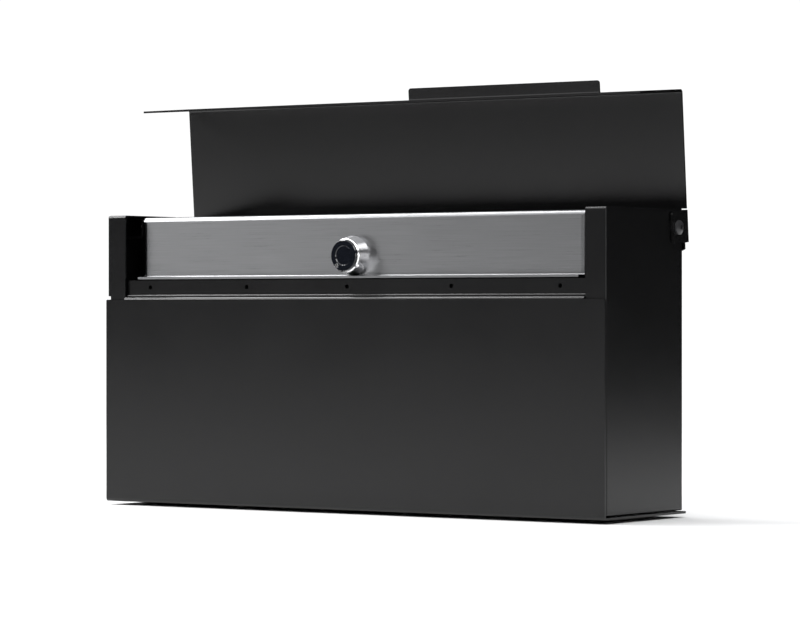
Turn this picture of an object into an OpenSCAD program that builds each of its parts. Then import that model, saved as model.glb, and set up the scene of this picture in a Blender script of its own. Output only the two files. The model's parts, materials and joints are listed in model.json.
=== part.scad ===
// Wall-mounted locking mailbox: folded steel body, hinged weather lid and a
// stainless locking flap with a cam lock, which swings inwards under a fixed deck.
// Millimetres. +X runs along the width, -Y faces the user, +Z is up. The origin is under
// the bottom plate, half way along it, and depths are measured back from it.

/* [Body] */
// Width over the side panels
body_w = 400; // [360:1:420]
// Height from the underside to the top of the side panels
body_h = 195; // [185:1:210]
// Depth from the origin to the rear flanges
body_d = 92; // [88:1:110]
// How far the post faces stand in front of the origin
post_out = 1.3; // [1:0.1:1.3]
// Sheet thickness of the body
sheet_t = 1.2; // [1:0.1:1.5]
// Outside radius of the long bends along the top and the bottom
bend_r = 1.8; // [1.6:0.1:2.4]
// Outside radius of the upright bends at the posts
post_bend_r = 1.3; // [1.3:0.1:1.8]
// Width of the folded flanges, and so of the front posts
post_w = 15.3; // [13:0.1:18]
// Gap under the side panels
side_lift = 2.2; // [2:0.1:3]
// Height of the corner relief in the left post
relief_z = 137.6; // [130:0.1:138]

/* [Front cover] */
// Height of the top bend of the front cover
cover_h = 139.3; // [132:0.1:140]
// Sheet thickness of the front cover
cover_t = 1.5; // [1.2:0.1:1.5]
// How far the cover stands in front of the origin
cover_proud = 3; // [3:0.1:4]
// How far the bottom plate reaches behind the body
plate_tail = 4; // [0:0.5:6]
// Radius of the drain holes
drain_r = 3; // [2:0.5:4]

/* [Front wall] */
// Height of the sill that the locking flap rests on
sill_h = 150.6; // [146:0.1:151]
// Half length of the sill
sill_half = 184; // [170:0.1:184]
// Spacing of the five sill holes
sill_hole_pitch = 82.3; // [70:0.1:84]
// Radius of the sill holes
sill_hole_r = 1.5; // [1:0.05:1.6]

/* [Locking flap] */
// Half length of the flap
flap_half = 178.5; // [160:0.5:178.5]
// Half length of the flap's ledge
ledge_half = 177; // [160:0.5:177]
// Sheet thickness of the flap
flap_t = 1.5; // [1.2:0.1:1.5]
// Depth of the flap's face
flap_y = 10; // [9.5:0.1:10.5]
// Top of the flap
flap_top = 193.5; // [193:0.1:194]
// Outside radius of the flap's top bend
flap_bend_r = 3.2; // [2.6:0.1:3.4]
// Depth of the front edge of the flap's ledge
ledge_front = 3; // [3:0.1:4]
// Gap between the ledge and the sill under it
ledge_gap = 0.8; // [0.7:0.1:1]
// Flap hinge axis, depth
flap_axis_y = 17; // [16.8:0.1:17.5]
// Flap hinge axis, height
flap_axis_z = 188; // [187.5:0.1:188.1]
// Rear edge of the fixed deck
deck_end = 54; // [50:0.5:58]

/* [Lid] */
// Half width of the lid
lid_half = 200.8; // [180:0.1:210]
// Sheet thickness of the lid
lid_t = 1.3; // [1.2:0.1:1.5]
// Lid hinge axis, depth
lid_axis_y = 82.5; // [78:0.5:84]
// Lid hinge axis, distance below the top of the body
lid_axis_drop = 11.7; // [11.5:0.1:12]
// Height of the lid's top face over the hinge axis, lid shut
lid_rise = 14.5; // [14.4:0.1:15]
// Length of the lid in front of the hinge axis
lid_reach = 88; // [87:0.5:92]
// Length of the lid behind the hinge axis
lid_tail = 16; // [12:0.5:16]
// Height of the lip
lip_h = 53; // [50:0.5:54]
// Angle by which the lid stands open
lid_open = 85.6; // [0:0.1:90]
// Length of the finger pull
pull_len = 147; // [60:1:180]
// Middle of the finger pull, measured from the middle of the lid
pull_x = 97.5; // [0:0.5:100]
// How far the finger pull stands out of the lip
pull_out = 8; // [5:0.5:10]

/* [Cam lock] */
// Height of the lock's axis
lock_z = 166.1; // [165:0.1:167]
// Radius of the bezel at the flap
bezel_r = 13; // [12.5:0.1:14]
// Radius of the bezel at its front
bezel_front_r = 11.2; // [11:0.1:12]
// How far the bezel stands in front of the flap's face
bezel_out = 11.2; // [10:0.1:11.4]
// Radius of the weather cap
cap_r = 10.2; // [9:0.1:10.4]
// Radius of the lock barrel through the flap
barrel_r = 9.5; // [9:0.1:10]
// Radius of the turning plug
plug_r = 6.5; // [6:0.1:6.8]
// Length of the cam from the lock's axis
cam_len = 27; // [25:0.5:28]

/* [Wall mounting] */
// Distance between the wall holes across the width
wall_dx = 320; // [200:10:340]
// Distance between the wall holes up the back
wall_dz = 120; // [80:5:130]
// Radius of the wall holes
wall_hole_r = 3.2; // [2.5:0.1:4]
// Depth of the wall
wall_y = 100; // [100:0.5:106]

/* [Fits] */
// Radial clearance of a running fit
fit = 0.05; // [0.02:0.01:0.08]
// Clearance between parts that pass each other
gap = 0.3; // [0.3:0.05:0.5]

/* [Hidden] */

$fn = 64;
eps = 0.01;
half_w = body_w / 2;
inner_half = half_w - sheet_t;
panel_half = inner_half - bend_r + sheet_t - 0.05;   // panels inside the side trays stop short of their bends
sheath = [0.055, 0.056, 0.06];
steel = [0.62, 0.63, 0.64];
chrome = [0.85, 0.86, 0.88];
zinc = [0.7, 0.71, 0.73];
black = [0.02, 0.022, 0.028];

lid_axis_z = body_h - lid_axis_drop;
corner_r = lid_rise - lid_t - gap - fit;   // rear top corner of the sides, round the lid's axis

cover_screw_xy = [for (x = [-150, 150], y = [18, 74]) [x, y]];
cover_screw_r = 1.5;
drain_xy = [for (x = [-110, 110], y = [30, 62]) [x, y]];

post_relief_w = 2.6;
post_relief_d = 4.4;
post_relief_h = 2.3;

wall_face_y = sheet_t - post_out;          // front face of the inner front wall
back_y = body_d - sheet_t;                 // rear face of the back panel
floor_z = side_lift + sheet_t;             // underside of the floor pan
wall_step_z = 141;                         // the wall steps back by its own thickness here
step_r = 1;                                // rounding of that step
sill_y = wall_face_y + sheet_t;            // front face of the sill

pin_r = 2;
ledge_z = sill_h + ledge_gap;              // underside of the ledge
flap_eye_r = 3.6;
stub_end = flap_axis_y + 2;                // rear edge of the flap's top
bracket_in = flap_half + 1.1;              // inner face of the flap brackets
bracket_t = 1.2;
spring_r = 2.95;                           // spring coil, to the middle of the wire
spring_wire = 0.55;                        // radius of the spring's wire
pin_head_x = flap_half - flap_t - 6.6;     // outer face of the pin's head
screw_r = 2.5;                             // lid pivot screw, thread
shoulder_r = 3;                            // lid pivot screw, shoulder under the head
pivot_head_r = 4.6;
washer_t = 0.5;
ear_in = half_w + washer_t + gap;          // inner face of the lid's ears
ear_out = ear_in + lid_t;
ear_front = 10.6;                          // ear's reach from the axis, towards the lip
ear_rear = 10.2;
ear_drop = 6.6;                            // ear's reach past the axis, away from the lid
slot_w = 0.8;
slot_in = 4;
tail_half = 198.5;                         // half width of the lid behind its ears

bezel_front_y = flap_y - bezel_out;
barrel_end_y = flap_y + 7.2;
cap_back_y = bezel_front_y - 0.2;
cap_t = 1.4;
rivet_x = -5.3;
rivet_z = -6.4;
cam_y = barrel_end_y + 0.6;
cam_t = 1.5;
keeper_y = cam_y + cam_t + 2.4;            // rear face of the keeper's lip, which stands behind the cam

// ---- shared shapes ----

// Extrude a (Y, Z) outline along X, centred on X = 0
module along_x(len) rotate([90, 0, 90]) linear_extrude(height = len, center = true) children();

// Extrude an (X, Z) outline along Y, from Y = y0 towards +Y
module along_y(y0, len) translate([0, y0 + len, 0]) rotate([90, 0, 0]) linear_extrude(height = len) children();

// Rectangle from corner a to corner b, with its corners rounded by r
module round_rect(a, b, r) {
    for (x = [a[0] + r, b[0] - r], y = [a[1] + r, b[1] - r]) translate([x, y]) circle(r = r);
    translate([a[0] + r, a[1]]) square([b[0] - a[0] - 2 * r, b[1] - a[1]]);
    translate([a[0], a[1] + r]) square([b[0] - a[0], b[1] - a[1] - 2 * r]);
}

// Quarter ring of a bend: outside radius r, thickness t, centred on c, in the quadrant (sx, sy)
module bend(c, r, t, sx, sy) translate(c) intersection() {
    difference() { circle(r = r); circle(r = r - t); }
    translate([sx > 0 ? 0 : -r, sy > 0 ? 0 : -r]) square(r);
}

// Cylinder along X from x0 to x1 on the axis (y, z)
module rod_x(x0, x1, y, z, r, sides = 64)
    translate([x0, y, z]) rotate([0, 90, 0]) cylinder(h = x1 - x0, r = r, $fn = sides);

// Cylinder along Y from y0 to y1 on the axis (x, z)
module rod_y(y0, y1, x, z, r, sides = 64)
    translate([x, y0, z]) rotate([-90, 0, 0]) cylinder(h = y1 - y0, r = r, $fn = sides);

// ---- body ----

// One side panel is a shallow folded tray, open towards the middle of the box
module side_block(inset) {
    r = bend_r - inset;
    intersection() {
        translate([0, 0, side_lift + inset]) linear_extrude(height = body_h - side_lift - 2 * inset)
            round_rect([half_w - 3 * post_w, inset - post_out], [half_w - inset, body_d - inset],
                       post_bend_r - inset);
        along_y(-post_out, body_d + post_out)
            round_rect([half_w - 3 * post_w, side_lift + inset], [half_w - inset, body_h - inset], r);
        along_x(3 * body_w) side_outline(inset, r);
    }
}

// Side outline in (Y, Z): the rear top corner is an arc round the lid's hinge axis
module side_outline(inset, r) {
    round_rect([inset - post_out, side_lift + inset], [lid_axis_y, body_h - inset], r);
    translate([lid_axis_y - post_w, side_lift + inset])
        square([body_d - inset - lid_axis_y + post_w, lid_axis_z - side_lift - inset]);
    intersection() {
        translate([lid_axis_y, lid_axis_z]) circle(r = corner_r - inset);
        translate([lid_axis_y - post_w, 0]) square([body_d - inset - lid_axis_y + post_w, body_h - inset]);
    }
}

module side_panel(relief) color(sheath) difference() {
    side_block(0);
    difference() {
        side_block(sheet_t);
        translate([inner_half, -body_d, 0]) cube([post_w, 3 * body_d, body_h]);
    }
    translate([half_w - 4 * post_w, -post_out - 1, 0]) cube([3 * post_w, body_d + 4, body_h + 1]);
    if (relief) translate([half_w - post_relief_w, -post_out - 1, relief_z])
        cube([post_relief_w + 1, post_relief_d + 1, post_relief_h]);
    rod_x(inner_half - 1, half_w + 1, lid_axis_y, lid_axis_z, screw_r + fit);
}

module side_panel_right() side_panel(false);
module side_panel_left() mirror([1, 0, 0]) side_panel(true);

module wall_hole_places() for (x = [-wall_dx / 2, wall_dx / 2], z = [body_h / 2 - wall_dz / 2, body_h / 2 + wall_dz / 2])
    translate([x, 0, z]) children();

module back_panel() color(sheath) difference() {
    translate([-panel_half, back_y - sheet_t, floor_z])
        cube([2 * panel_half, sheet_t, lid_axis_z + 5 - floor_z]);
    wall_hole_places() rod_y(back_y - 2 * sheet_t, back_y + 1, 0, 0, wall_hole_r);
}

module floor_outline() {
    square([back_y - sheet_t - wall_face_y - sheet_t, sheet_t]);
    translate([back_y - wall_face_y - 3 * sheet_t, 0]) square([sheet_t, 13]);
}

module floor_pan() color(sheath) difference() {
    translate([0, wall_face_y + sheet_t, floor_z]) along_x(2 * panel_half) floor_outline();
    for (p = drain_xy) translate([p[0], p[1], 0]) cylinder(h = 10, r = drain_r);
    for (p = cover_screw_xy) translate([p[0], p[1], 0]) cylinder(h = 10, r = cover_screw_r + 0.2);
}

// The inner front wall steps back above the cover, and its top edge is hemmed to make the sill
module front_wall() color(sheath) difference() {
    union() {
        along_y(wall_face_y, sheet_t)
            translate([-panel_half, floor_z]) square([2 * panel_half, wall_step_z - step_r - floor_z]);
        along_x(2 * sill_half) sill_outline();
    }
    for (i = [-2:2]) rod_y(-3, 8, i * sill_hole_pitch, sill_h - 4.7, sill_hole_r);
    for (x = [-9, 9]) rod_y(-3, 5, x, keeper_rivet_z, keeper_rivet_r + fit);
}

module sill_outline() {
    translate([wall_face_y + step_r, wall_step_z - step_r]) intersection() {
        circle(r = step_r);
        translate([-step_r, 0]) square(step_r + eps);
    }
    translate([wall_face_y, wall_step_z - 2 * step_r]) square([sheet_t, step_r + eps]);
    translate([sill_y, wall_step_z - 2 * step_r]) square([sheet_t, sill_h - wall_step_z + 2 * step_r]);
    translate([sill_y, sill_h - 9]) square([2 * sheet_t, 9]);
}

// Front plate and bottom plate folded from one sheet, with a return along the top
module cover_outline() {
    front = -cover_proud;
    r = 2.2;
    translate([front, r]) square([cover_t, relief_z - r]);
    bend([front + r, r], r, cover_t, -1, -1);
    translate([front + r, 0]) square([body_d + plate_tail - front - r, cover_t]);
}

module cover_return() {
    front = -cover_proud;
    r = 1.9;
    translate([front, relief_z - 5]) square([cover_t, cover_h - r - relief_z + 5]);
    bend([front + r, cover_h - r], r, cover_t, -1, 1);
    translate([front + r, cover_h - cover_t]) square([wall_face_y - 0.2 - front - r, cover_t]);
}

module cover_sides() along_y(-2 * cover_proud, 2 * body_d)
    round_rect([-half_w, -5], [half_w, cover_h], 1);

module front_cover() color(sheath) difference() {
    union() {
        intersection() {
            along_x(body_w) cover_outline();
            translate([0, 0, relief_z - cover_h]) cover_sides();
        }
        along_x(2 * (half_w - post_w - gap)) cover_return();
    }
    for (p = cover_screw_xy) translate([p[0], p[1], -eps])
        cylinder(h = cover_t + 2 * eps, r1 = 3.1, r2 = cover_screw_r + 0.1);
    for (p = drain_xy) translate([p[0], p[1], -1]) cylinder(h = 5, r = drain_r);
}

module cover_spacers() color(black) for (p = cover_screw_xy) translate([p[0], p[1], cover_t]) difference() {
    cylinder(h = floor_z - cover_t, r = 4.5);
    translate([0, 0, -1]) cylinder(h = 5, r = cover_screw_r + 0.2);
}

module cover_screws() color(zinc) for (p = cover_screw_xy) translate([p[0], p[1], 0.15]) difference() {
    union() {
        cylinder(h = 1.3, r1 = 2.8, r2 = cover_screw_r);
        cylinder(h = 9, r = cover_screw_r);
    }
    translate([0, 0, -1]) cylinder(h = 1.8, r = 0.9, $fn = 6);
}

module cover_nuts() color(zinc) for (p = cover_screw_xy) translate([p[0], p[1], floor_z + sheet_t]) difference() {
    cylinder(h = 2.4, r = 3.1, $fn = 6);
    translate([0, 0, -1]) cylinder(h = 5, r = cover_screw_r);
}

// ---- keeper for the cam ----

keeper_half = 16;
keeper_t = 1.5;
keeper_base_z = 121;
keeper_shelf_z = 137;
keeper_top_z = 147;
keeper_rivet_z = 128;
keeper_rivet_r = 1.6;

module cam_keeper() color(zinc) difference() {
    back = wall_face_y + sheet_t;
    along_x(2 * keeper_half) {
        translate([back, keeper_base_z]) square([keeper_t, keeper_shelf_z - 2.5 - keeper_base_z]);
        bend([back + 2.5, keeper_shelf_z - 2.5], 2.5, keeper_t, -1, 1);
        translate([back + 2.5, keeper_shelf_z - keeper_t]) square([keeper_y - 5 - back, keeper_t]);
        bend([keeper_y - 2.5, keeper_shelf_z - keeper_t + 2.5], 2.5, keeper_t, 1, -1);
        translate([keeper_y - keeper_t, keeper_shelf_z - keeper_t + 2.5])
            square([keeper_t, keeper_top_z - keeper_shelf_z + keeper_t - 2.5]);
    }
    for (x = [-9, 9]) rod_y(0, 6, x, keeper_rivet_z, keeper_rivet_r + fit);
}

module keeper_rivets() color(zinc) for (x = [-9, 9]) {
    rod_y(wall_face_y - 0.8, wall_face_y, x, keeper_rivet_z, 3);
    rod_y(wall_face_y - eps, wall_face_y + sheet_t + keeper_t + eps, x, keeper_rivet_z, keeper_rivet_r);
    rod_y(wall_face_y + sheet_t + keeper_t, wall_face_y + sheet_t + keeper_t + 1.6, x, keeper_rivet_z, 2.4);
}

// ---- fixed deck ----

// The deck closes the top from behind the flap to the mail slot, and its front edge stops the flap
module top_deck() color(sheath) {
    front = stub_end + gap;
    top = body_h - sheet_t;
    r = 2;
    hang = 12;
    along_x(2 * panel_half) {
        translate([front, top - sheet_t]) square([deck_end - front - r, sheet_t]);
        bend([deck_end - r, top - r], r, sheet_t, 1, 1);
        translate([deck_end - sheet_t, top - hang]) square([sheet_t, hang - r]);
    }
}

// ---- hinge of the locking flap ----

// Angle bracket with an upright plate that carries the pin
bracket_web_z = 181;
bracket_half = 5.5;
module flap_bracket() color(sheath) difference() {
    r = 2;
    translate([0, flap_axis_y, 0]) along_y(-bracket_half, 2 * bracket_half) {
        translate([inner_half - bracket_t, bracket_web_z - 14]) square([bracket_t, 14 - r]);
        bend([inner_half - r, bracket_web_z - r], r, bracket_t, 1, 1);
        translate([bracket_in + r, bracket_web_z - bracket_t]) square([inner_half - bracket_in - 2 * r, bracket_t]);
        bend([bracket_in + r, bracket_web_z + r - bracket_t], r, bracket_t, -1, -1);
        translate([bracket_in, bracket_web_z + r - bracket_t])
            square([bracket_t, body_h - 2 * sheet_t - bracket_web_z - r + bracket_t]);
    }
    rod_x(bracket_in - 1, bracket_in + 3, flap_axis_y, flap_axis_z, pin_r + fit);
}

module flap_bracket_right() flap_bracket();
module flap_bracket_left() mirror([1, 0, 0]) flap_bracket();

module flap_hinge_pins() color(zinc) for (side = [0, 1]) mirror([side, 0, 0]) {
    rod_x(pin_head_x - 1.5, pin_head_x, flap_axis_y, flap_axis_z, 3.4);
    difference() {
        rod_x(pin_head_x - eps, bracket_in + bracket_t + 3.2, flap_axis_y, flap_axis_z, pin_r);
        clip_groove(pin_r + 1);
    }
}

// Coil round each pin, with a leg that presses on the back of the flap's face
module flap_springs() color(zinc) for (side = [0, 1]) mirror([side, 0, 0])
    translate([pin_head_x + spring_wire + gap, flap_axis_y, flap_axis_z]) {
        for (i = [0:4]) translate([i * 1.9 * spring_wire, 0, 0]) rotate([0, 90, 0])
            rotate_extrude($fn = 24) translate([spring_r, 0]) circle(r = spring_wire, $fn = 16);
        rotate([-10, 0, 0]) translate([0, -spring_r, -10.7]) cylinder(h = 10.7, r = spring_wire, $fn = 16);
    }

module clip_groove(outer) {
    x0 = bracket_in + bracket_t + 0.2;
    difference() {
        rod_x(x0, x0 + 0.8, flap_axis_y, flap_axis_z, outer);
        rod_x(x0 - 1, x0 + 2, flap_axis_y, flap_axis_z, pin_r - 0.5);
    }
}

module flap_pin_clips() color(zinc) for (side = [0, 1]) mirror([side, 0, 0]) difference() {
    x0 = bracket_in + bracket_t + 0.2;
    rod_x(x0 + 0.05, x0 + 0.75, flap_axis_y, flap_axis_z, pin_r + 2);
    rod_x(x0 - 1, x0 + 2, flap_axis_y, flap_axis_z, pin_r - 0.5 + 0.02);
    translate([x0 - 1, flap_axis_y - pin_r + 0.5, flap_axis_z - 6]) cube([3, 2 * pin_r - 1, 6]);
}

// ---- hinge of the lid ----

dome_r = 8.8;

// Low domed head with a hexagon recess, a shoulder that the ear turns on, and a thread
module lid_pivot_screws() color(zinc) for (side = [0, 1]) mirror([side, 0, 0])
    translate([0, lid_axis_y, lid_axis_z]) rotate([0, 90, 0]) difference() {
        union() {
            translate([0, 0, ear_out + gap]) {
                cylinder(h = 0.9, r = pivot_head_r);
                translate([0, 0, 0.9 - eps]) intersection() {
                    translate([0, 0, 1.5 - dome_r]) sphere(r = dome_r, $fn = 96);
                    cylinder(h = 4, r = pivot_head_r);
                }
            }
            translate([0, 0, half_w + 0.02]) cylinder(h = ear_out + gap - half_w, r = shoulder_r);
            translate([0, 0, inner_half - 6.5]) cylinder(h = 8, r = screw_r);
        }
        translate([0, 0, ear_out + gap + 1]) cylinder(h = 5, r = 1.75, $fn = 6);
    }

module lid_pivot_washers() color(black) for (side = [0, 1]) mirror([side, 0, 0]) difference() {
    rod_x(half_w, half_w + washer_t, lid_axis_y, lid_axis_z, 5.6);
    rod_x(half_w - 1, half_w + 2, lid_axis_y, lid_axis_z, shoulder_r + fit);
}

module lid_pivot_nuts() color(zinc) for (side = [0, 1]) mirror([side, 0, 0]) difference() {
    union() {
        rod_x(inner_half - 3.6, inner_half, lid_axis_y, lid_axis_z, 4.6, 6);
        rod_x(inner_half - 5, inner_half - 3.6 + eps, lid_axis_y, lid_axis_z, 3.7);
    }
    rod_x(inner_half - 8, inner_half + 1, lid_axis_y, lid_axis_z, screw_r);
}

module wall_spacers() color(black) wall_hole_places() difference() {
    rod_y(back_y, wall_y, 0, 0, 9);
    rod_y(back_y - 1, wall_y + 1, 0, 0, wall_hole_r);
}

// ---- locking flap ----

// Short top, face and forward ledge, folded from one sheet
module flap_outline() {
    r = flap_bend_r;
    ledge_r = 2.4;
    translate([flap_y + r, flap_top - flap_t]) square([stub_end - flap_y - r, flap_t]);
    bend([flap_y + r, flap_top - r], r, flap_t, -1, 1);
    translate([flap_y, ledge_z + ledge_r]) square([flap_t, flap_top - r - ledge_z - ledge_r]);
    bend([flap_y + flap_t - ledge_r, ledge_z + ledge_r], ledge_r, flap_t, 1, -1);
    translate([ledge_front, ledge_z]) square([flap_y + flap_t - ledge_r - ledge_front, flap_t]);
}

// One end of the flap: the face turns back along the end, and an eye on the hinge axis joins it to the top
module flap_end() {
    r = 4;
    z0 = ledge_z + 2.6;
    z1 = flap_top - flap_bend_r;
    translate([0, 0, z0]) linear_extrude(height = z1 - z0) {
        bend([flap_half - r, flap_y + r], r, flap_t, 1, -1);
        translate([flap_half - flap_t, flap_y + r]) square([flap_t, flap_axis_y + flap_eye_r - flap_y - r]);
    }
    translate([flap_half - flap_t, 0, 0]) rotate([90, 0, 90]) linear_extrude(height = flap_t) {
        translate([flap_axis_y, flap_axis_z]) circle(r = flap_eye_r);
        translate([flap_axis_y - flap_eye_r, flap_axis_z])
            square([stub_end - flap_axis_y + flap_eye_r, flap_top - flap_t / 2 - flap_axis_z]);
    }
}

module locking_flap() color(steel) difference() {
    union() {
        difference() {
            along_x(2 * (flap_half - 1.3)) flap_outline();
            for (side = [0, 1]) mirror([side, 0, 0]) {
                translate([flap_half - 4, flap_y - 1, ledge_z + 2.6])
                    cube([8, flap_t + 1.5, flap_top - flap_bend_r - ledge_z - 2.6]);
                translate([ledge_half, 0, ledge_z - 1]) cube([8, flap_y - 0.5, 5]);
            }
        }
        flap_end();
        mirror([1, 0, 0]) flap_end();
    }
    rod_y(flap_y - 1, flap_y + 3, 0, lock_z, barrel_r + fit);
    for (side = [0, 1]) mirror([side, 0, 0])
        rod_x(flap_half - 3, flap_half + 1, flap_axis_y, flap_axis_z, pin_r + fit);
}

// ---- cam lock ----

// Turned outline of the barrel in (radius, length), length measured from the bezel's front
module barrel_outline() {
    edge = 0.6;
    length = barrel_end_y - bezel_front_y;
    polygon([[plug_r + fit, 0], [bezel_front_r - edge, 0], [bezel_front_r, edge],
             [bezel_r, bezel_out - 2], [bezel_r, bezel_out],
             [barrel_r, bezel_out], [barrel_r, length - edge], [barrel_r - edge, length],
             [plug_r + fit, length]]);
}

module lock_barrel() color(chrome) difference() {
    translate([0, bezel_front_y, lock_z]) rotate([-90, 0, 0]) rotate_extrude($fn = 96) barrel_outline();
    rod_y(bezel_front_y - 1, bezel_front_y + 4, rivet_x, lock_z + rivet_z, 0.9);
    translate([0, bezel_front_y, lock_z]) rotate([0, 38, 0]) translate([bezel_front_r - 0.6, -1, -1.2])
        cube([4, 3.6, 2.4]);
}

module lock_washer() color(zinc) difference() {
    rod_y(flap_y + flap_t, flap_y + flap_t + 0.9, 0, lock_z, 12.2);
    rod_y(flap_y, flap_y + 4, 0, lock_z, barrel_r + 0.1);
}

module lock_nut() color(zinc) difference() {
    y0 = flap_y + flap_t + 0.9;
    intersection() {
        rod_y(y0, y0 + 3.6, 0, lock_z, 12.9, 6);
        rod_y(y0, y0 + 3.6, 0, lock_z, 12.3);
    }
    rod_y(flap_y, flap_y + 10, 0, lock_z, barrel_r + fit);
}

module lock_plug() color(zinc) difference() {
    union() {
        rod_y(bezel_front_y + 0.3, barrel_end_y, 0, lock_z, plug_r);
        rod_y(barrel_end_y - 1, barrel_end_y + 0.06, 0, lock_z, plug_r);
        rod_y(barrel_end_y + 0.05, cam_y - 0.05, 0, lock_z, 8);
        translate([-3, cam_y - 1, lock_z - 3]) cube([6, cam_t + 1, 6]);
    }
    translate([-0.8, bezel_front_y - 1, lock_z - 4]) cube([1.6, 12, 8]);
    translate([-1.5, bezel_front_y - 1, lock_z - 1.2]) cube([1.5, 9, 2.4]);
    rod_y(cam_y - 6, cam_y + 5, 0, lock_z, 1.6);
}

// The cam points sideways when unlocked, and down behind the keeper when locked
module lock_cam() color(zinc) difference() {
    along_y(cam_y, cam_t) translate([0, lock_z]) {
        circle(r = 7.5);
        round_rect([-5, -6], [cam_len, 6], 2.5);
    }
    translate([-3.05, cam_y - 1, lock_z - 3.05]) cube([6.1, 5, 6.1]);
}

module cam_screw() color(zinc) difference() {
    union() {
        rod_y(cam_y - 5, cam_y + cam_t + 0.1, 0, lock_z, 1.55);
        rod_y(cam_y + cam_t + 0.05, cam_y + cam_t + 2.4, 0, lock_z, 4.4);
    }
    rod_y(cam_y + cam_t + 1, cam_y + cam_t + 4, 0, lock_z, 1.5, 6);
}

// Swivelling cap over the keyway, with a shallow dish for the fingertip
module weather_cap() color(black) difference() {
    translate([0, cap_back_y, lock_z]) rotate([90, 0, 0]) rotate_extrude($fn = 96)
        polygon([[0, 0], [cap_r, 0], [cap_r, cap_t - 0.5], [cap_r - 0.5, cap_t], [6.6, cap_t],
                 [6.1, cap_t - 0.5], [0, cap_t - 0.5]]);
    rod_y(cap_back_y - 4, cap_back_y + 1, rivet_x, lock_z + rivet_z, 0.85 + fit);
}

module cap_rivet() color(chrome) {
    rod_y(cap_back_y - cap_t - 0.35, cap_back_y - cap_t - 0.05, rivet_x, lock_z + rivet_z, 1.5);
    rod_y(cap_back_y - cap_t - 0.06, bezel_front_y + 3.5, rivet_x, lock_z + rivet_z, 0.85);
}

// ---- lid ----

// Panel and lip in (Y, Z) from the hinge axis, lid shut
module lid_outline() {
    r = 2.4;
    front = -lid_reach;
    translate([front + r, lid_rise - lid_t]) square([lid_reach + lid_tail - r, lid_t]);
    bend([front + r, lid_rise - r], r, lid_t, -1, 1);
    translate([front, lid_rise - lip_h]) square([lid_t, lip_h - r]);
}

// The finger pull is the lip's free edge, folded forward over part of its length
module pull_outline() {
    r = 2.2;
    front = -lid_reach;
    low = lid_rise - lip_h;
    bend([front + lid_t - r, low + r], r, lid_t, 1, -1);
    translate([front - pull_out, low]) square([pull_out + lid_t - r, lid_t]);
}

module ear_outline() {
    r = 2.2;
    translate([lid_half - slot_in, lid_rise - lid_t]) square([ear_out - r - lid_half + slot_in, lid_t]);
    bend([ear_out - r, lid_rise - r], r, lid_t, 1, 1);
    translate([ear_in, -ear_drop]) square([lid_t, lid_rise - r + ear_drop]);
}

module lid_ear() difference() {
    intersection() {
        along_y(-ear_front, ear_front + ear_rear) ear_outline();
        along_x(3 * body_w) round_rect([-ear_front, -ear_drop], [ear_rear, lid_rise + 6], 3);
    }
    rod_x(ear_in - 1, ear_out + 1, 0, 0, shoulder_r + fit);
}

module lid_shut() difference() {
    union() {
        intersection() {
            along_x(2 * lid_half) lid_outline();
            translate([0, 0, -2 * lip_h]) linear_extrude(height = 4 * lip_h)
                round_rect([-lid_half, -lid_reach - 20], [lid_half, lid_tail], 6);
            along_y(-lid_reach - 1, 2 * lid_reach)
                round_rect([-lid_half, lid_rise - lip_h], [lid_half, lid_rise + 5], 1.5);
        }
        intersection() {
            translate([pull_x, 0, 0]) along_x(pull_len) pull_outline();
            translate([0, 0, -2 * lip_h]) linear_extrude(height = 4 * lip_h)
                round_rect([pull_x - pull_len / 2, -lid_reach - pull_out],
                           [pull_x + pull_len / 2, 0], 2);
        }
        lid_ear();
        mirror([1, 0, 0]) lid_ear();
    }
    for (side = [0, 1]) mirror([side, 0, 0]) {
        translate([lid_half - slot_in, -ear_front - slot_w, lid_rise - lid_t - 1])
            cube([2 * slot_in, slot_w, lid_t + 2]);
        translate([tail_half, ear_rear, lid_rise - lid_t - 1]) cube([2 * slot_in, lid_tail, lid_t + 2]);
    }
}

module lid() color(sheath) translate([0, lid_axis_y, lid_axis_z]) rotate([-lid_open, 0, 0]) lid_shut();

side_panel_left();
side_panel_right();
back_panel();
floor_pan();
front_wall();
front_cover();
cover_spacers();
cover_screws();
cover_nuts();
cam_keeper();
keeper_rivets();
top_deck();
flap_bracket_left();
flap_bracket_right();
flap_hinge_pins();
flap_springs();
flap_pin_clips();
lid_pivot_screws();
lid_pivot_washers();
lid_pivot_nuts();
wall_spacers();
locking_flap();
lock_barrel();
lock_washer();
lock_nut();
cap_rivet();
weather_cap();
lock_plug();
lock_cam();
cam_screw();
lid();
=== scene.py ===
"""Looks for the wall-mount locking mailbox: powder-coated sheet steel, a brushed stainless flap and a chrome cam lock."""
import json
import math

import bpy
from mathutils import Euler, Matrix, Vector

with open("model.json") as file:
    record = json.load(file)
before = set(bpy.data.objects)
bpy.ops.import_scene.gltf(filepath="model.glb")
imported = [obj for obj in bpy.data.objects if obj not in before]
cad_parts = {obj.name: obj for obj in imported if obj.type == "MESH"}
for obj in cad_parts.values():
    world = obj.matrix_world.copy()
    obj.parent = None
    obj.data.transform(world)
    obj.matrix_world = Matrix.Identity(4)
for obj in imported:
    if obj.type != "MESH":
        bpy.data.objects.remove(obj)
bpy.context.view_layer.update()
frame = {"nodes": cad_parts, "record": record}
nodes = frame["nodes"]


# ---- camera ----

def add_camera():
    """A long lens, level with the middle of the box, from its front right."""
    azimuth = math.radians(35.0)
    data = bpy.data.cameras.new("camera")
    data.sensor_width = 36.0
    data.lens = 159.3
    data.clip_end = 60.0
    camera = bpy.data.objects.new("camera", data)
    camera.location = (1.3533, -1.8711, 0.1313)
    camera.rotation_euler = Euler((math.radians(89.82), 0.0, azimuth))
    bpy.context.scene.collection.objects.link(camera)
    bpy.context.scene.camera = camera


# ---- light and floor ----

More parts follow.
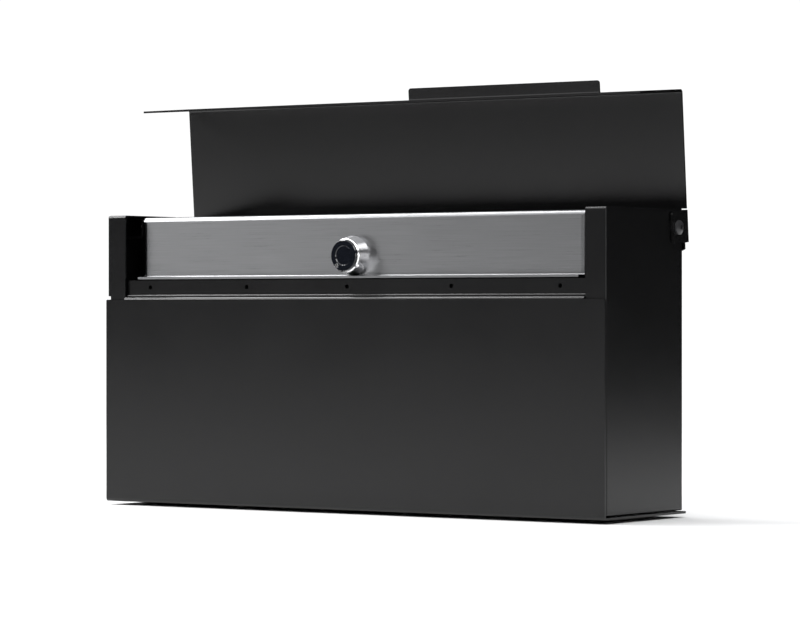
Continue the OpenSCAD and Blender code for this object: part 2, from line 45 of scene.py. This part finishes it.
def add_area(name, location, target, size, power):
    """A soft rectangular light that faces its target."""
    data = bpy.data.lights.new(name, "AREA")
    data.shape = "RECTANGLE"
    data.size, data.size_y = size
    data.energy = power
    light = bpy.data.objects.new(name, data)
    light.location = location
    light.rotation_mode = "QUATERNION"
    light.rotation_quaternion = (Vector(target) - Vector(location)).to_track_quat("-Z", "Y")
    bpy.context.scene.collection.objects.link(light)


def add_world():
    """White paper to the eye; for light and reflections, a bright ceiling over a room that is dark near the horizon."""
    world = bpy.data.worlds.new("studio")
    world.use_nodes = True
    tree = world.node_tree
    tree.nodes.clear()
    out = tree.nodes.new("ShaderNodeOutputWorld")
    mix = tree.nodes.new("ShaderNodeMixShader")
    paper = tree.nodes.new("ShaderNodeBackground")
    paper.inputs["Color"].default_value = (1.0, 1.0, 1.0, 1.0)
    paper.inputs["Strength"].default_value = 1.05
    room = tree.nodes.new("ShaderNodeBackground")
    room.inputs["Color"].default_value = (0.985, 0.99, 1.0, 1.0)
    direction = tree.nodes.new("ShaderNodeTexCoord")
    ceiling = tree.nodes.new("ShaderNodeVectorMath")
    ceiling.operation = "DOT_PRODUCT"
    ceiling.inputs[1].default_value = (-0.28, -0.08, 0.955)
    tree.links.new(direction.outputs["Generated"], ceiling.inputs[0])
    tree.links.new(spread(tree, ceiling.outputs["Value"], 0.02, 1.9, 0.50, 0.80), room.inputs["Strength"])
    rays = tree.nodes.new("ShaderNodeLightPath")
    tree.links.new(rays.outputs["Is Camera Ray"], mix.inputs[0])
    tree.links.new(room.outputs[0], mix.inputs[1])
    tree.links.new(paper.outputs[0], mix.inputs[2])
    tree.links.new(mix.outputs[0], out.inputs["Surface"])
    bpy.context.scene.world = world


def add_floor():
    """A round sheet of pale paper just clear of the box, reaching further to the front left than to the back right."""
    reach, sides = 2.05, 96
    centre_x, centre_y, gap = -0.40, -0.57, 0.0025
    turn = 2 * math.pi / sides
    rim = [(centre_x + reach * math.cos(turn * i), centre_y + reach * math.sin(turn * i), -gap) for i in range(sides)]
    mesh = bpy.data.meshes.new("floor")
    mesh.from_pydata(rim, [], [tuple(range(sides))])
    floor = bpy.data.objects.new("floor", mesh)
    bpy.context.scene.collection.objects.link(floor)
    mesh.materials.append(paper_white())


# ---- material helpers ----

def new_material(name):
    """A material with a Principled shader; returns the material, its tree and the shader."""
    material = bpy.data.materials.new(name)
    material.use_nodes = True
    tree = material.node_tree
    return material, tree, tree.nodes["Principled BSDF"]


def noise(tree, scale, stretch=(1.0, 1.0, 1.0), detail=3.0, roughness=0.5):
    """Noise in object coordinates, scale in features a metre, stretched along the axes."""
    place = tree.nodes.new("ShaderNodeTexCoord")
    mapping = tree.nodes.new("ShaderNodeMapping")
    mapping.inputs["Scale"].default_value = stretch
    texture = tree.nodes.new("ShaderNodeTexNoise")
    texture.inputs["Scale"].default_value = scale
    texture.inputs["Detail"].default_value = detail
    texture.inputs["Roughness"].default_value = roughness
    tree.links.new(place.outputs["Object"], mapping.inputs["Vector"])
    tree.links.new(mapping.outputs["Vector"], texture.inputs["Vector"])
    return texture.outputs["Fac"]


def spread(tree, value, low, high, start=0.3, stop=0.7):
    """Map a texture's middle range onto low to high."""
    node = tree.nodes.new("ShaderNodeMapRange")
    node.inputs["From Min"].default_value = start
    node.inputs["From Max"].default_value = stop
    node.inputs["To Min"].default_value = low
    node.inputs["To Max"].default_value = high
    tree.links.new(value, node.inputs["Value"])
    return node.outputs["Result"]


def ramp(tree, value, dark, light):
    """Mix between two colours by a texture."""
    node = tree.nodes.new("ShaderNodeValToRGB")
    node.color_ramp.elements[0].position = 0.3
    node.color_ramp.elements[0].color = (*dark, 1.0)
    node.color_ramp.elements[1].position = 0.7
    node.color_ramp.elements[1].color = (*light, 1.0)
    tree.links.new(value, node.inputs["Fac"])
    return node.outputs["Color"]


def bump(tree, shader, value, distance, strength=1.0):
    """Raise the surface by a texture, distance in metres."""
    node = tree.nodes.new("ShaderNodeBump")
    node.inputs["Strength"].default_value = strength
    node.inputs["Distance"].default_value = distance
    tree.links.new(value, node.inputs["Height"])
    tree.links.new(node.outputs["Normal"], shader.inputs["Normal"])


# ---- materials ----

def paper_white():
    """Matt white paper with barely visible changes of tone."""
    material, tree, shader = new_material("paper_white")
    tone = ramp(tree, noise(tree, 3.0), (0.86, 0.86, 0.86), (0.9, 0.9, 0.9))
    tree.links.new(tone, shader.inputs["Base Color"])
    shader.inputs["Roughness"].default_value = 0.9
    return material


def powder_coat():
    """Satin black powder coat: a very fine orange peel with slow changes of gloss."""
    material, tree, shader = new_material("powder_coat")
    speckle = ramp(tree, noise(tree, 900.0, detail=4.0), (0.0022, 0.0022, 0.0024), (0.0034, 0.0034, 0.0036))
    tree.links.new(speckle, shader.inputs["Base Color"])
    tree.links.new(spread(tree, noise(tree, 14.0), 0.215, 0.25), shader.inputs["Roughness"])
    shader.inputs["IOR"].default_value = 1.43
    bump(tree, shader, noise(tree, 2600.0, detail=2.0), 0.00001)
    return material


def brushed_steel():
    """Stainless brushed along its length: hair-fine streaks, and reflections drawn out across them."""
    material, tree, shader = new_material("brushed_steel")
    along = (1.0, 120.0, 120.0)
    fine = noise(tree, 20.0, along, detail=6.0, roughness=0.65)
    tree.links.new(ramp(tree, fine, (0.215, 0.217, 0.222), (0.262, 0.264, 0.27)), shader.inputs["Base Color"])
    shader.inputs["Metallic"].default_value = 1.0
    shader.inputs["Anisotropic"].default_value = 0.6
    tree.links.new(spread(tree, fine, 0.27, 0.30), shader.inputs["Roughness"])
    surface = tree.nodes.new("ShaderNodeNewGeometry")
    across = tree.nodes.new("ShaderNodeVectorMath")
    across.operation = "CROSS_PRODUCT"
    across.inputs[1].default_value = (1.0, 0.0, 0.0)
    tree.links.new(surface.outputs["Normal"], across.inputs[0])
    tree.links.new(across.outputs["Vector"], shader.inputs["Tangent"])
    bump(tree, shader, fine, 0.000002)
    return material


def bright_metal(name, colour, rough, peel):
    """Plated metal with a faint unevenness in its polish."""
    material, tree, shader = new_material(name)
    dark = tuple(0.92 * c for c in colour)
    tree.links.new(ramp(tree, noise(tree, 260.0), dark, colour), shader.inputs["Base Color"])
    shader.inputs["Metallic"].default_value = 1.0
    tree.links.new(spread(tree, noise(tree, 420.0), rough, rough * 1.7), shader.inputs["Roughness"])
    bump(tree, shader, noise(tree, 320.0), peel)
    return material


def moulded(name, colour, rough, grain):
    """Moulded plastic or rubber with a light grain."""
    material, tree, shader = new_material(name)
    dark = tuple(0.75 * c for c in colour)
    tree.links.new(ramp(tree, noise(tree, 700.0), dark, colour), shader.inputs["Base Color"])
    tree.links.new(spread(tree, noise(tree, 300.0), rough, min(1.0, rough * 1.25)), shader.inputs["Roughness"])
    bump(tree, shader, noise(tree, 1500.0), grain)
    return material


def dress_nodes():
    """Give every CAD node the finish of its material slot."""
    looks = {
        "black_coat": powder_coat(),
        "brushed_steel": brushed_steel(),
        "chrome": bright_metal("chrome", (0.95, 0.95, 0.96), 0.14, 0.000003),
        "zinc_steel": bright_metal("zinc_steel", (0.62, 0.63, 0.65), 0.22, 0.00001),
        "dark_steel": moulded("dark_steel", (0.03, 0.03, 0.032), 0.35, 0.00001),
        "gloss_black": moulded("gloss_black", (0.006, 0.007, 0.01), 0.06, 0.000002),
        "black_nylon": moulded("black_nylon", (0.02, 0.02, 0.021), 0.5, 0.00001),
        "black_rubber": moulded("black_rubber", (0.018, 0.018, 0.018), 0.75, 0.00003),
    }
    for part in frame["record"]["subparts"]:
        piece = nodes[part["node"]]
        piece.data.materials.clear()
        piece.data.materials.append(looks[part["material_slot"]])


scene = bpy.context.scene
scene.view_settings.view_transform = "Standard"
add_camera()
add_world()
add_floor()
add_area("key", (-1.65, -1.35, 1.15), (-0.1, 0.0, 0.15), (0.6, 0.6), 21.0)
add_area("upper left", (-1.15, 0.0, 1.7), (0.0, 0.0, 0.1), (0.6, 0.6), 16.0)
add_area("upper right", (1.0, -1.0, 1.4), (0.0, 0.0, 0.15), (0.8, 0.8), 14.0)
add_area("edge", (2.3, -1.5, 0.25), (0.0, 0.0, 0.15), (0.5, 0.9), 6.0)
dress_nodes()
